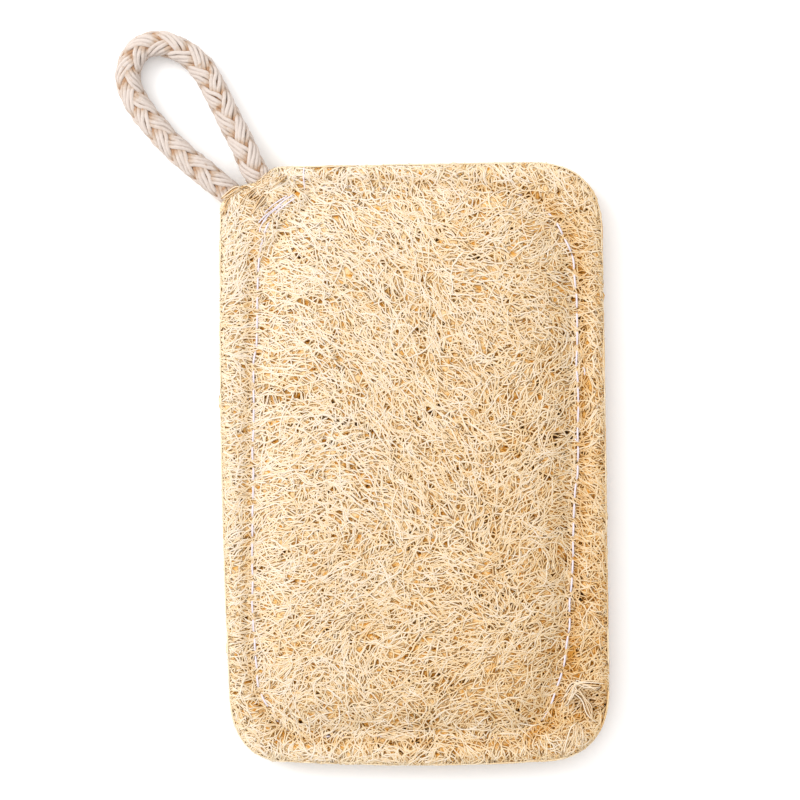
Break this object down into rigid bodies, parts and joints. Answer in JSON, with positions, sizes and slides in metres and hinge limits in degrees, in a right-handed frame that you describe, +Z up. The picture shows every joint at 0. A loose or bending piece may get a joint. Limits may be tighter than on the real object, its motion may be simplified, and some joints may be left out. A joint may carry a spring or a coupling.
{
  "type": "natural loofah dish scrubber",
  "caption": "Flat rounded scrubbing pad of natural loofah fibre, sewn round its edge, with a hanging loop of braided cotton cord at one corner.",
  "frame": {"origin": "on the surface the pad lies on, under the middle of the pad's box without the cord loop", "axes": "+Z up out of the pad's front face, +Y along the pad's length towards the end with the cord loop, +X across the pad to its right seen from the front"},
  "size_m": [0.1153, 0.1711, 0.0138],
  "materials": {
    "loofah_fibre": "dry pale straw fibre net with golden depths, matt",
    "cotton_cord": "undyed braided cotton, off-white, matt",
    "sewing_thread": "white sewing thread, slightly shiny"
  },
  "bodies": {
    "root": {"front_panel": "loofah_fibre", "back_panel": "loofah_fibre", "needle_thread": "sewing_thread", "bobbin_thread": "sewing_thread", "hanging_loop": "cotton_cord"}
  },
  "joints": []
}
